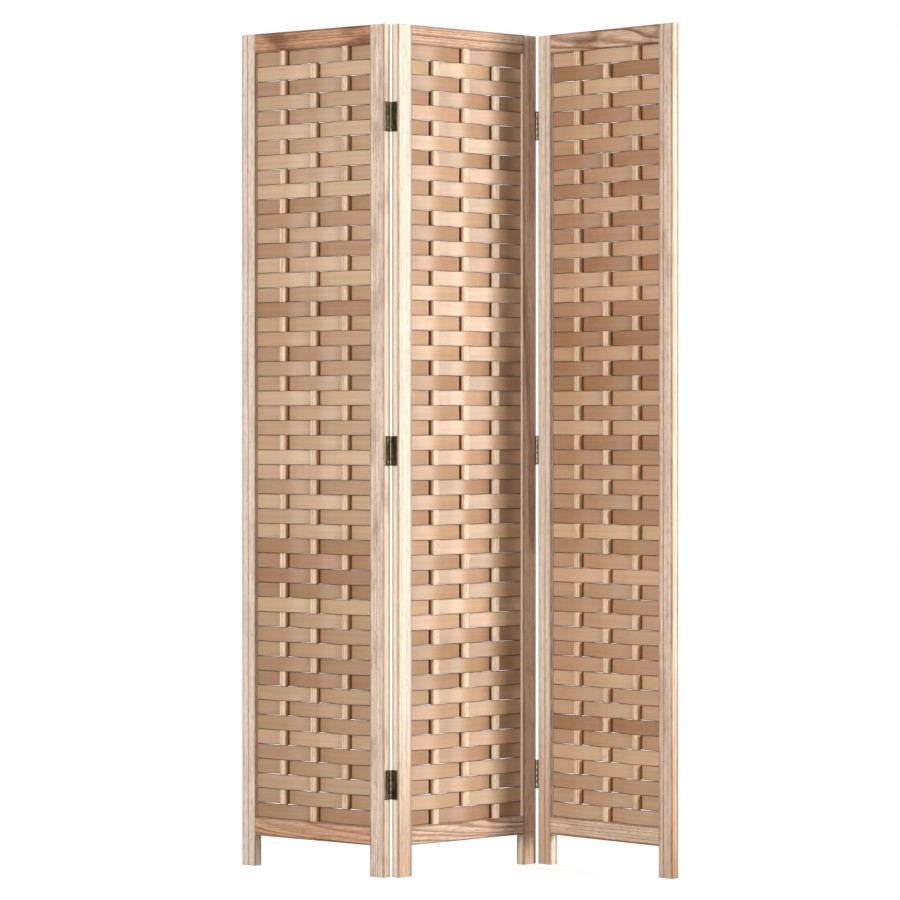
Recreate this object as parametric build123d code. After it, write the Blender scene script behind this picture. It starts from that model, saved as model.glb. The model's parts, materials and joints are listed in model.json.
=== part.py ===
from build123d import *
import os
from math import atan2, cos, degrees, pi

# Folding room divider: three wooden frames woven with thin strips, standing in a zigzag on butt hinges.
# Millimetres and degrees. Each panel is modelled upright: X across it, front at -Y, floor at Z = 0.

# How the screen stands
MIDDLE_HEADING = 42.3
LEFT_FOLD = 99.0
RIGHT_FOLD = 91.0

# Panel frame
PANEL_HEIGHT = 1800.0
PANEL_WIDTH = 400.0
FRAME_THICKNESS = 20.0
STILE_WIDTH = 38.0
RAIL_WIDTH = 40.0
LEG_HEIGHT = 66.0
EDGE_BEVEL = 0.8
TENON_LENGTH = 18.0
TENON_WIDTH = 28.0
TENON_THICKNESS = 8.0
JOINERY_CLEARANCE = 0.1

# Upright slats
SLAT_SIDES = (-1, 0, 1)
SLAT_SPACING = 87.5
SLAT_WIDTH = 17.0
SLAT_THICKNESS = 11.0
SLAT_BEVEL = 1.5
SLAT_SEAT = 10.0

# Woven strips
STRIP_WIDTH = 31.5
STRIP_GAP = 0.3
STRIP_THICKNESS = 1.4
STRIP_SEAT = 7.0
STRIP_CLEARANCE = 0.2

# Butt hinges
HINGE_INSET = 195.0
LEAF_HEIGHT = 63.0
LEAF_REACH = 17.0
LEAF_THICKNESS = 1.2
LEAF_SPLIT = 0.6
BARREL_RADIUS = 2.5
BARREL_SIDES = 8
KNUCKLE_COUNT = 5
KNUCKLE_GAP = 0.3
PIN_RADIUS = 1.25
PIN_CLEARANCE = 0.05
SCREW_PITCH = 24.0
SCREW_HEAD_RADIUS = 2.8
SCREW_SHANK_RADIUS = 1.4
SCREW_TIP_RADIUS = 0.3
SCREW_LENGTH = 16.0
SCREW_SIDES = 6
SCREW_CLEARANCE = 0.1

OPENING_WIDTH = PANEL_WIDTH - 2 * STILE_WIDTH
OPENING_FOOT = LEG_HEIGHT + RAIL_WIDTH
OPENING_TOP = PANEL_HEIGHT - RAIL_WIDTH
LEAF_BACK = LEAF_THICKNESS + LEAF_SPLIT / 2
HINGE_X = PANEL_WIDTH / 2 + LEAF_BACK
HINGE_Y = FRAME_THICKNESS / 2 + 0.75 * BARREL_RADIUS
HINGE_HEIGHTS = {"bottom": HINGE_INSET, "centre": PANEL_HEIGHT / 2, "top": PANEL_HEIGHT - HINGE_INSET}

# A strip lies flat across each slat and runs straight from slat to slat, on one face and then on the other.
slat_flat = SLAT_WIDTH / 2 - SLAT_BEVEL
crest = (SLAT_THICKNESS + STRIP_THICKNESS) / 2 + STRIP_CLEARANCE
strip_end = OPENING_WIDTH / 2 + STRIP_SEAT
end_slope = crest / (strip_end - SLAT_SPACING - slat_flat)
groove_width = STRIP_THICKNESS + 2 * STRIP_SEAT * end_slope + 2 * STRIP_CLEARANCE


def block(low, high):
    """A box between two opposite corners."""
    size = Vector(high) - Vector(low)
    return Pos((Vector(low) + Vector(high)) / 2) * Box(size.X, size.Y, size.Z)


def stile(side):
    """An upright, left (-1) or right (+1), grooved for the strip ends and mortised for the rails."""
    blank = Pos(0, 0, PANEL_HEIGHT / 2) * Box(STILE_WIDTH, FRAME_THICKNESS, PANEL_HEIGHT)
    inner_edges = blank.faces().sort_by(Axis.X)[0].edges()
    blank = chamfer(blank.edges() - inner_edges, EDGE_BEVEL)
    inner_face = -STILE_WIDTH / 2
    groove_floor = inner_face + STRIP_SEAT + STRIP_CLEARANCE
    low = (inner_face, -groove_width / 2, OPENING_FOOT)
    high = (groove_floor, groove_width / 2, OPENING_TOP)
    cuts = [block(low, high)]
    mortise_floor = inner_face + TENON_LENGTH + JOINERY_CLEARANCE
    mortise_y = TENON_THICKNESS / 2 + JOINERY_CLEARANCE
    mortise_z = TENON_WIDTH / 2 + JOINERY_CLEARANCE
    for rail_foot in (LEG_HEIGHT, OPENING_TOP):
        centre = rail_foot + RAIL_WIDTH / 2
        low = (inner_face, -mortise_y, centre - mortise_z)
        high = (mortise_floor, mortise_y, centre + mortise_z)
        cuts.append(block(low, high))
    turn = Rot(0, 0, 0 if side > 0 else 180)
    return Pos(side * (PANEL_WIDTH - STILE_WIDTH) / 2, 0, 0) * turn * (blank - cuts)


def rail(slat_side):
    """The bottom rail (+1, slats above it) or top rail (-1, slats below it) with its stub tenons."""
    body = Box(OPENING_WIDTH, FRAME_THICKNESS, RAIL_WIDTH)
    outer_edges = body.edges().filter_by(Axis.X).group_by(Axis.Z)[0 if slat_side > 0 else -1]
    body = chamfer(outer_edges, EDGE_BEVEL)
    body += Box(OPENING_WIDTH + 2 * TENON_LENGTH, TENON_THICKNESS, TENON_WIDTH)
    mortise_depth = SLAT_SEAT + JOINERY_CLEARANCE
    mortise_x = SLAT_WIDTH + 2 * JOINERY_CLEARANCE
    mortise_y = SLAT_THICKNESS + 2 * JOINERY_CLEARANCE
    mortise_z = slat_side * (RAIL_WIDTH - mortise_depth) / 2
    for place in SLAT_SIDES:
        body -= Pos(place * SLAT_SPACING, 0, mortise_z) * Box(mortise_x, mortise_y, mortise_depth)
    foot = LEG_HEIGHT if slat_side > 0 else OPENING_TOP
    return Pos(0, 0, foot + RAIL_WIDTH / 2) * body


def slat(place):
    """An upright slat, left (-1), middle (0) or right (+1), with both ends seated in the rails."""
    foot = OPENING_FOOT - SLAT_SEAT
    length = OPENING_TOP + SLAT_SEAT - foot
    blank = Box(SLAT_WIDTH, SLAT_THICKNESS, length)
    blank = chamfer(blank.edges().filter_by(Axis.Z), SLAT_BEVEL)
    return Pos(place * SLAT_SPACING, 0, foot + length / 2) * blank


def strip(middle_side):
    """A strip in front of (-1) or behind (+1) the middle slat, and the other way past its neighbours."""
    bends = [(-strip_end, 0)]
    for place in SLAT_SIDES:
        side = middle_side if place == 0 else -middle_side
        bends.append((place * SLAT_SPACING - slat_flat, side * crest))
        bends.append((place * SLAT_SPACING + slat_flat, side * crest))
    bends.append((strip_end, 0))
    front = [(x, y - STRIP_THICKNESS / 2) for x, y in bends]
    back = [(x, y + STRIP_THICKNESS / 2) for x, y in reversed(bends)]
    return extrude(make_face(Polyline(front + back, close=True)), STRIP_WIDTH)


def woven_rows(middle_side):
    """The rows of one panel from the top down as two lists, the odd rows and the even rows."""
    opening_height = OPENING_TOP - OPENING_FOOT
    count = int(opening_height // (STRIP_WIDTH + STRIP_GAP))
    pitch = opening_height / count
    first_foot = OPENING_TOP - (pitch + STRIP_WIDTH) / 2
    pair = (strip(middle_side), strip(-middle_side))
    rows = [Pos(0, 0, first_foot - row * pitch) * pair[row % 2] for row in range(count)]
    return rows[0::2], rows[1::2]


def barrel(radius, length):
    """A many-sided bar about the pin axis, within 0.25 mm of round."""
    return extrude(RegularPolygon(radius, BARREL_SIDES), length / 2, both=True)


def hinge_leaf(knuckle_rows):
    """A leaf about its pin axis, lying on a panel end that faces -X; knuckle rows count from its foot."""
    face = LEAF_SPLIT / 2
    tip = BARREL_RADIUS + LEAF_REACH
    root = BARREL_RADIUS + KNUCKLE_GAP
    leaf = block((face, root, -LEAF_HEIGHT / 2), (LEAF_BACK, tip, LEAF_HEIGHT / 2))
    pitch = LEAF_HEIGHT / KNUCKLE_COUNT
    knuckle_length = pitch - KNUCKLE_GAP
    for row in knuckle_rows:
        centre = (row + 0.5) * pitch - LEAF_HEIGHT / 2
        neck = block((face, 0, -knuckle_length / 2), (LEAF_BACK, root, knuckle_length / 2))
        leaf += Pos(0, 0, centre) * (neck + barrel(BARREL_RADIUS, knuckle_length))
    bore_radius = (PIN_RADIUS + PIN_CLEARANCE) / cos(pi / BARREL_SIDES)
    leaf -= barrel(bore_radius, LEAF_HEIGHT)
    for seat in screw_seats():
        leaf -= seat * screw_head(SCREW_CLEARANCE)
    return leaf


def screw_seats():
    """Where a leaf's screws go in: a column on its face, each seat's Z axis pointing into the wood."""
    column = BARREL_RADIUS + LEAF_REACH / 2
    return [Pos(LEAF_SPLIT / 2, column, place * SCREW_PITCH) * Rot(0, 90, 0) for place in (-1, 0, 1)]


def taper(foot_radius, top_radius, height):
    """A many-sided taper standing on Z = 0."""
    slope = degrees(atan2(foot_radius - top_radius, height))
    return extrude(RegularPolygon(foot_radius, SCREW_SIDES, major_radius=False), height, taper=slope)


def screw_head(clearance=0.0):
    """A countersunk head as deep as the leaf with its face at Z = 0, or the room it needs."""
    return taper(SCREW_HEAD_RADIUS + clearance, SCREW_SHANK_RADIUS + clearance, LEAF_THICKNESS)


def screw():
    """A countersunk wood screw with its head's face at Z = 0 and its point up."""
    shank = taper(SCREW_SHANK_RADIUS, SCREW_TIP_RADIUS, SCREW_LENGTH - LEAF_THICKNESS)
    return screw_head() + Pos(0, 0, LEAF_THICKNESS) * shank


def at_hinges(panel_end, barrel_side):
    """The hinge places on a panel's left (-1) or right (+1) end, barrel in front (-1) or behind (+1)."""
    turn = Rot(180 if barrel_side > 0 else 0, 180 if panel_end > 0 else 0, 0)
    foot = Pos(panel_end * HINGE_X, barrel_side * HINGE_Y, 0)
    return {level: foot * Pos(0, 0, height) * turn for level, height in HINGE_HEIGHTS.items()}


# The middle panel stands at its heading, and the outer panels swing about the hinge lines at its two ends.
middle_place = Rot(0, 0, MIDDLE_HEADING)
left_axis = middle_place * Pos(-HINGE_X, HINGE_Y, 0)
left_place = left_axis * Rot(0, 0, LEFT_FOLD - 180) * Pos(-HINGE_X, -HINGE_Y, 0)
right_axis = middle_place * Pos(HINGE_X, -HINGE_Y, 0)
right_place = right_axis * Rot(0, 0, RIGHT_FOLD - 180) * Pos(HINGE_X, HINGE_Y, 0)

# The middle panel is woven the other way round, so that neighbouring rows run on across each fold.
panels = {"left": (left_place, -1), "middle": (middle_place, 1), "right": (right_place, -1)}
nodes = {}
for name, (place, middle_side) in panels.items():
    odd_rows, even_rows = woven_rows(middle_side)
    panel = {
        "left_stile": [stile(-1)],
        "right_stile": [stile(1)],
        "bottom_rail": [rail(1)],
        "top_rail": [rail(-1)],
        "left_slat": [slat(-1)],
        "middle_slat": [slat(0)],
        "right_slat": [slat(1)],
        "odd_strips": odd_rows,
        "even_strips": even_rows,
    }
    for piece, solids in panel.items():
        nodes[f"{name}_panel_{piece}"] = [place * solid for solid in solids]

# Each hinge has its end knuckles on the outer panel's leaf, and its pin stays with the middle panel.
end_knuckles = range(0, KNUCKLE_COUNT, 2)
inner_knuckles = range(1, KNUCKLE_COUNT, 2)
hinge_lines = {
    "left": [("outer", left_place, 1, 1, end_knuckles), ("middle", middle_place, -1, 1, inner_knuckles)],
    "right": [("outer", right_place, -1, -1, end_knuckles), ("middle", middle_place, 1, -1, inner_knuckles)],
}
for name, sides in hinge_lines.items():
    for side, place, panel_end, barrel_side, knuckle_rows in sides:
        leaf = hinge_leaf(knuckle_rows)
        seats = {level: place * seat for level, seat in at_hinges(panel_end, barrel_side).items()}
        for level, seat in seats.items():
            nodes[f"{name}_{level}_hinge_{side}_leaf"] = [seat * leaf]
        nodes[f"{name}_hinges_{side}_screws"] = [
            seat * hole * screw() for seat in seats.values() for hole in screw_seats()
        ]
    for level, seat in seats.items():
        nodes[f"{name}_{level}_hinge_pin"] = [seat * barrel(PIN_RADIUS, LEAF_HEIGHT)]

# The screen's origin is on the floor below the middle of its box.
box = Compound([solid for solids in nodes.values() for solid in solids]).bounding_box()
to_origin = Pos(-box.center().X, -box.center().Y, 0)
os.makedirs("parts", exist_ok=True)
for node, solids in nodes.items():
    export_step(Compound([to_origin * solid for solid in solids]), f"parts/{node}.step")

print("left hinge axis", (to_origin * left_axis).position)
print("right hinge axis", (to_origin * right_axis).position)
print("middle panel centre", to_origin.position)
print("box", box.size)
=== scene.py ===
import json
from math import cos, pi, radians, sin

import bmesh
import bpy
from mathutils import Matrix, Vector


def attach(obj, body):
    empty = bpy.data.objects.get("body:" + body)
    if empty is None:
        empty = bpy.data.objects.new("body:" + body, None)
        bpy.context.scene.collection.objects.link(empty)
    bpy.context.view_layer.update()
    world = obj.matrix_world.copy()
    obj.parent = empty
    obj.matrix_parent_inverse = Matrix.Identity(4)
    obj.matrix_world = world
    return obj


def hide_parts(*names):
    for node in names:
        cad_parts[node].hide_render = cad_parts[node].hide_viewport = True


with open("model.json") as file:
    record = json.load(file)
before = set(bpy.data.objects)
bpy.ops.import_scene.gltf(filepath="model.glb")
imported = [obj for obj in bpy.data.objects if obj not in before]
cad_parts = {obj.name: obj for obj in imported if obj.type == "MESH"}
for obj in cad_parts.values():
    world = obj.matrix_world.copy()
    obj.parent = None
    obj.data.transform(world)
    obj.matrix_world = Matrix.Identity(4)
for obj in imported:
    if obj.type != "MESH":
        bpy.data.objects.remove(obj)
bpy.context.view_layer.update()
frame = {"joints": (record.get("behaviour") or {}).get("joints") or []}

# Stiles: two uprights to a panel, sawn from light paulownia, eased along their outer edges and lightly
# torched so that the grain shows. A stopped groove in the inner face takes the strip ends, and each stile
# runs down past the bottom rail as a leg.
MM = 0.001
PANEL_WIDTH = 400 * MM
PANEL_HEIGHT = 1800 * MM
FRAME_THICKNESS = 20 * MM
STILE_WIDTH = 38 * MM
RAIL_WIDTH = 40 * MM
LEG_HEIGHT = 66 * MM
EASED_EDGE = 1.4 * MM
CRISP_EDGE = 0.4 * MM
SQUARE_CORNER = radians(60)
SHADED_SHARP = radians(32)
GROOVE_WIDTH = 3 * MM
GROOVE_DEPTH = 7.2 * MM
HEADINGS = {"left": -38.7, "middle": 42.3, "right": -46.7}
PIN_OUT = Vector((201.5 * MM, 11.875 * MM, 0))
opening_foot = LEG_HEIGHT + RAIL_WIDTH
opening_top = PANEL_HEIGHT - RAIL_WIDTH
opening_half = PANEL_WIDTH / 2 - STILE_WIDTH

# A piece is made flat, its panel's front towards -Y, and is then carried to where the panel stands.
pin_lines = {joint["name"]: Vector(joint["pos_m"]) for joint in frame["joints"]}
panel_pins = {
    "left": ("left_fold", Vector((1, 1, 0))),
    "middle": ("left_fold", Vector((-1, 1, 0))),
    "right": ("right_fold", Vector((-1, -1, 0))),
}
panel_places = {}
for panel, (fold, corner) in panel_pins.items():
    turn = Matrix.Rotation(radians(HEADINGS[panel]), 4, "Z")
    to_pin = Matrix.Translation(-PIN_OUT * corner)
    panel_places[panel] = Matrix.Translation(pin_lines[fold]) @ turn @ to_pin


def linear(hex_code):
    """An sRGB hex colour as linear red, green, blue and alpha."""
    channels = [int(hex_code[i:i + 2], 16) / 255 for i in (1, 3, 5)]
    return [c / 12.92 if c <= 0.04045 else ((c + 0.055) / 1.055) ** 2.4 for c in channels] + [1.0]


def add_node(tree, kind, inputs=None, **settings):
    """Adds a node with its settings; each input, by name or number, is set to a value or linked."""
    node = tree.nodes.new(kind)
    for name, value in settings.items():
        setattr(node, name, value)
    for key, value in (inputs or {}).items():
        if isinstance(value, bpy.types.Node):
            value = value.outputs[0]
        if isinstance(value, bpy.types.NodeSocket):
            tree.links.new(value, node.inputs[key])
        else:
            node.inputs[key].default_value = value
    return node


def new_material(name):
    """A named material with an empty node tree."""
    material = bpy.data.materials.new(name)
    material.use_nodes = True
    material.node_tree.nodes.clear()
    return material


def make_mesh(solid, material):
    """A finished bmesh as a mesh of one material."""
    mesh = bpy.data.meshes.new(material.name)
    solid.to_mesh(mesh)
    solid.free()
    mesh.materials.append(material)
    return mesh


def seat_piece(name, mesh, body, slot, *nodes):
    """Makes a mesh one shown piece of a body, standing for the solids that it replaces."""
    mesh.name = name
    mesh.shade_smooth()
    mesh.set_sharp_from_angle(angle=SHADED_SHARP)
    piece = bpy.data.objects.new(name, mesh)
    bpy.context.scene.collection.objects.link(piece)
    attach(piece, body)
    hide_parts(*nodes)
    return piece


def solid_wood(name, early, late, toned, burnt, sawn_edge, scorch_and_shade, ring_mm, line_depth, painted_flank_shade=0.0):
    """Wood as growth rings about the pith of its log, so grain runs on round every edge and end.

    Each piece carries grain, its place along, across and through the board in metres; log, the pith's
    place across and through it and its slope; finish, how toned, how torched and how wavy it is; foot,
    how much more toned its foot is on the wide and on the narrow faces; and edge, its place as shares of
    its half sizes. The right-hand side is darkened brown as painted shade, as far as the last argument says.
    """
    material = new_material(name)
    tree = material.node_tree
    grain, log, finish, foot, edge = [
        add_node(tree, "ShaderNodeAttribute", attribute_name=label).outputs["Vector"]
        for label in ("grain", "log", "finish", "foot", "edge")]
    pith = add_node(tree, "ShaderNodeSeparateXYZ", {0: log}).outputs
    tone, torch, wave = add_node(tree, "ShaderNodeSeparateXYZ", {0: finish}).outputs

    # The log moves each board to a place of its own in the patterns.
    spot = add_node(tree, "ShaderNodeVectorMath", {0: log, 1: (91.7, 47.3, 63.1), 2: grain},
                    operation="MULTIPLY_ADD")

    # Growth lines sway over some 400 mm of length and 60 mm of width, by the board's own wave.
    sway_at = add_node(tree, "ShaderNodeMapping", {"Vector": spot, "Scale": (2.6, 17, 17)})
    sway = add_node(tree, "ShaderNodeTexNoise", {"Vector": sway_at, "Scale": 1.0, "Detail": 2.0})
    sway = add_node(tree, "ShaderNodeVectorMath", {0: sway.outputs["Color"], 1: (0.5, 0.5, 0.5)},
                    operation="SUBTRACT")
    sway = add_node(tree, "ShaderNodeVectorMath", {0: sway, "Scale": wave}, operation="SCALE")
    bent = add_node(tree, "ShaderNodeVectorMath", {0: grain, 1: sway}, operation="ADD")
    along, across, through = add_node(tree, "ShaderNodeSeparateXYZ", {0: bent}).outputs
    across = add_node(tree, "ShaderNodeMath", {0: across, 1: pith[0]}, operation="SUBTRACT")
    through = add_node(tree, "ShaderNodeMath", {0: through, 1: pith[1]}, operation="SUBTRACT")
    through = add_node(tree, "ShaderNodeMath", {0: along, 1: pith[2], 2: through}, operation="MULTIPLY_ADD")
    from_pith = add_node(tree, "ShaderNodeCombineXYZ", {0: across, 1: through})
    radius = add_node(tree, "ShaderNodeVectorMath", {0: from_pith}, operation="LENGTH").outputs["Value"]

    # Each ring is pale at first and ends in a dark line; some lines are strong and some faint.
    rings = add_node(tree, "ShaderNodeMath", {0: radius, 1: ring_mm * MM}, operation="DIVIDE")
    uneven = add_node(tree, "ShaderNodeTexNoise", {"W": rings, "Scale": 0.45}, noise_dimensions="1D")
    rings = add_node(tree, "ShaderNodeMath", {0: uneven, 1: 2.2, 2: rings}, operation="MULTIPLY_ADD")
    ring = add_node(tree, "ShaderNodeMath", {0: rings}, operation="FLOOR")
    phase = add_node(tree, "ShaderNodeMath", {0: rings}, operation="FRACT")
    rise = add_node(tree, "ShaderNodeMapRange", {0: phase, 1: 0.3, 2: 0.9}, interpolation_type="SMOOTHSTEP")
    fall = add_node(tree, "ShaderNodeMapRange", {0: phase, 1: 0.9, 2: 1.0, 3: 1.0, 4: 0.0})
    strength = add_node(tree, "ShaderNodeTexWhiteNoise", {"W": ring}, noise_dimensions="1D")
    strength = add_node(tree, "ShaderNodeMapRange", {0: strength, 3: 0.2 * line_depth, 4: line_depth})
    drawn = add_node(tree, "ShaderNodeMapRange", {0: tone, 1: -0.4, 2: 0.8, 3: 0.75, 4: 1.5})
    strength = add_node(tree, "ShaderNodeMath", {0: strength, 1: drawn}, operation="MULTIPLY",
                        use_clamp=True)
    line = add_node(tree, "ShaderNodeMath", {0: rise, 1: fall}, operation="MULTIPLY")
    line = add_node(tree, "ShaderNodeMath", {0: line, 1: strength}, operation="MULTIPLY")

    # Fibres are drawn about 4 mm wide and pores 2.5 mm by 16 mm, coarser than real ones, so that they show.
    fibre_at = add_node(tree, "ShaderNodeMapping", {"Vector": spot, "Scale": (8, 260, 260)})
    fibre = add_node(tree, "ShaderNodeTexNoise", {"Vector": fibre_at, "Scale": 1.0, "Detail": 2.0})
    shade = add_node(tree, "ShaderNodeMapRange", {0: fibre, 1: 0.3, 2: 0.7, 3: 0.78, 4: 1.09})
    pore_at = add_node(tree, "ShaderNodeMapping", {"Vector": spot, "Scale": (60, 400, 400)})
    pore = add_node(tree, "ShaderNodeTexNoise", {"Vector": pore_at, "Scale": 1.0, "Detail": 1.0})
    pore = add_node(tree, "ShaderNodeMapRange", {0: pore, 1: 0.5, 2: 0.75, 3: 1.0, 4: 0.66})
    shade = add_node(tree, "ShaderNodeMath", {0: shade, 1: pore}, operation="MULTIPLY")

    # A board of negative tone is bleached, and the narrow faces are planed and paler. The torch tones the
    # wood, some stiles most at the foot, and leaves brown clouds some 40 mm wide and 110 mm long.
    bleach = add_node(tree, "ShaderNodeMapRange", {0: tone, 1: -0.5, 2: 0.0, 3: 1.0, 4: 0.0})
    near = add_node(tree, "ShaderNodeVectorMath", {0: edge}, operation="ABSOLUTE")
    near = add_node(tree, "ShaderNodeSeparateXYZ", {0: near}).outputs
    planed = add_node(tree, "ShaderNodeMapRange", {0: near[1], 1: 0.985, 2: 1.0, 4: 0.5})
    kept = add_node(tree, "ShaderNodeMath", {0: planed, 1: -1.2, 2: 1.0}, operation="MULTIPLY_ADD")
    toning = add_node(tree, "ShaderNodeMath", {0: tone, 1: kept}, operation="MULTIPLY")
    low = add_node(tree, "ShaderNodeMapRange", {0: along, 1: -0.85, 2: -0.4, 3: 1.0, 4: 0.0},
                   interpolation_type="SMOOTHSTEP")
    wide, narrow, _ = add_node(tree, "ShaderNodeSeparateXYZ", {0: foot}).outputs
    narrowness = add_node(tree, "ShaderNodeMath", {0: planed, 1: 2.0}, operation="MULTIPLY")
    foot = add_node(tree, "ShaderNodeMix", {0: narrowness, 2: wide, 3: narrow})
    toning = add_node(tree, "ShaderNodeMath", {0: foot, 1: low, 2: toning}, operation="MULTIPLY_ADD")
    cloud_at = add_node(tree, "ShaderNodeMapping", {"Vector": spot, "Scale": (9, 24, 24)})
    cloud = add_node(tree, "ShaderNodeTexNoise", {"Vector": cloud_at, "Scale": 1.0, "Detail": 3.0})
    cloud = add_node(tree, "ShaderNodeMapRange", {0: cloud, 1: 0.47, 2: 0.72},
                     interpolation_type="SMOOTHSTEP")
    char = add_node(tree, "ShaderNodeMath", {0: cloud, 1: torch}, operation="MULTIPLY")

    # The long arrises are darkened brown over the last 3 mm, here more and there less: partly torch scorch
    # and partly painted shade, which is strongest behind.
    arris_y = add_node(tree, "ShaderNodeMapRange", {0: near[1], 1: 0.79, 2: 0.90},
                       interpolation_type="SMOOTHSTEP")
    arris_z = add_node(tree, "ShaderNodeMapRange", {0: near[2], 1: 0.56, 2: 0.78},
                       interpolation_type="SMOOTHSTEP")
    arris = add_node(tree, "ShaderNodeMath", {0: arris_y, 1: arris_z}, operation="MULTIPLY")
    patchy_at = add_node(tree, "ShaderNodeMapping", {"Vector": spot, "Scale": (16, 40, 40)})
    patchy = add_node(tree, "ShaderNodeTexNoise", {"Vector": patchy_at, "Scale": 1.0, "Detail": 3.0})
    patchy = add_node(tree, "ShaderNodeMapRange", {0: patchy, 1: 0.35, 2: 0.65, 3: 0.7, 4: 1.0})
    arris = add_node(tree, "ShaderNodeMath", {0: arris, 1: patchy}, operation="MULTIPLY")
    _, right, back = add_node(tree, "ShaderNodeSeparateXYZ", {0: edge}).outputs
    # Painted shade: the back arrises are darker than the front ones.
    painted_back_shade = add_node(tree, "ShaderNodeMapRange", {0: back, 1: -0.2, 2: 0.2, 3: 0.55, 4: 1.0})
    arris = add_node(tree, "ShaderNodeMath", {0: arris, 1: painted_back_shade}, operation="MULTIPLY")
    # Painted shade darkens the right-hand side brown.
    if painted_flank_shade:
        flank_shade_mask = add_node(tree, "ShaderNodeMapRange", {0: right, 1: 0.94, 2: 1.0, 4: painted_flank_shade})
        flank_shade_mask = add_node(tree, "ShaderNodeMath", {0: flank_shade_mask, 1: patchy}, operation="MULTIPLY")
        arris = add_node(tree, "ShaderNodeMath", {0: arris, 1: flank_shade_mask}, operation="MAXIMUM")

    # The colours go on one over the other, from the new wood to the arrises' scorch and painted shade.
    colour = linear(early)
    for amount, paint, blend in (
            (line, linear(late), "MIX"), (1.0, shade, "MULTIPLY"), (bleach, linear("#e8e8dc"), "MIX"),
            (planed, linear(sawn_edge), "MIX"), (toning, linear(toned), "MULTIPLY"),
            (char, linear(burnt), "MULTIPLY"), (arris, linear(scorch_and_shade), "MIX")):
        colour = add_node(tree, "ShaderNodeMix", {0: amount, 6: colour, 7: paint}, data_type="RGBA",
                          blend_type=blend).outputs[2]
    relief = add_node(tree, "ShaderNodeMath", {0: line, 1: -0.6, 2: fibre}, operation="MULTIPLY_ADD")
    bump = add_node(tree, "ShaderNodeBump", {"Strength": 0.35, "Distance": 0.5 * MM, "Height": relief})
    dull = add_node(tree, "ShaderNodeMapRange", {0: fibre, 1: 0.3, 2: 0.7, 3: 0.68, 4: 0.52})
    shader = add_node(tree, "ShaderNodeBsdfPrincipled",
                      {"Base Color": colour, "Roughness": dull, "Normal": bump, "Specular IOR Level": 0.35})
    add_node(tree, "ShaderNodeOutputMaterial", {"Surface": shader})
    return material


# Paulownia sawn and lightly torched: pinkish beige with brown growth lines about 6 mm apart, matt.
torched_paulownia = solid_wood(
    "torched_paulownia", early="#ecd9c6", late="#9a7153", toned="#d09660", burnt="#957053",
    sawn_edge="#e6d0b2", scorch_and_shade="#40271a", ring_mm=6.4, line_depth=0.85)


def write_grain(mesh, low, high, along, across, log_mm, finish, foot=(0, 0)):
    """Gives a board's points their place in the grain, and the board's log, finish and foot."""
    through = 3 - along - across
    axes = (along, across, through)
    middle = (low + high) / 2
    half = (high - low) / 2
    pith = (log_mm[0] * MM, log_mm[1] * MM, log_mm[2])
    wavy = (finish[0], finish[1], finish[2] * MM)
    names = ("grain", "log", "finish", "foot", "edge")
    for name in names:
        mesh.attributes.new(name, "FLOAT_VECTOR", "POINT")
    layers = {name: mesh.attributes[name].data for name in names}
    for i, vertex in enumerate(mesh.vertices):
        spot = vertex.co - middle
        layers["grain"][i].vector = [spot[a] for a in axes]
        layers["edge"][i].vector = [spot[a] / half[a] for a in axes]
        layers["log"][i].vector = pith
        layers["finish"][i].vector = wavy
        layers["foot"][i].vector = (*foot, 0)


def cut_board(low, high, is_crisp):
    """A board between two corners, its edges rounded, or only just broken where is_crisp says so."""
    board = bmesh.new()
    bmesh.ops.create_cube(board, size=1)
    middle, size = (low + high) / 2, high - low
    for vertex in board.verts:
        vertex.co = middle + vertex.co * size
    crisp = [e for e in board.edges if is_crisp((e.verts[0].co + e.verts[1].co) / 2 - middle)]
    eased = [e for e in board.edges if e not in crisp]
    bmesh.ops.bevel(board, geom=eased, offset=EASED_EDGE, segments=3, profile=0.5, affect="EDGES")
    crisp = [e for e in board.edges if len(e.link_faces) == 2 and e.calc_face_angle() > SQUARE_CORNER]
    bmesh.ops.bevel(board, geom=crisp, offset=CRISP_EDGE, segments=1, affect="EDGES")
    return board


def sink_groove(board, inner_x):
    """A stopped groove in a stile's inner face, as high as the woven opening."""
    for spot, normal in (((0, GROOVE_WIDTH / 2, 0), (0, 1, 0)), ((0, -GROOVE_WIDTH / 2, 0), (0, 1, 0)),
                         ((0, 0, opening_foot), (0, 0, 1)), ((0, 0, opening_top), (0, 0, 1))):
        everything = board.verts[:] + board.edges[:] + board.faces[:]
        bmesh.ops.bisect_plane(board, geom=everything, plane_co=spot, plane_no=normal)
    mouths = []
    for face in board.faces:
        spot = face.calc_center_median()
        inside = abs(spot.y) < GROOVE_WIDTH / 2 and opening_foot < spot.z < opening_top
        if inside and abs(spot.x - inner_x) < CRISP_EDGE / 4:
            mouths.append(face)
    bmesh.ops.inset_individual(board, faces=mouths, thickness=0, depth=-GROOVE_DEPTH)


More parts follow.
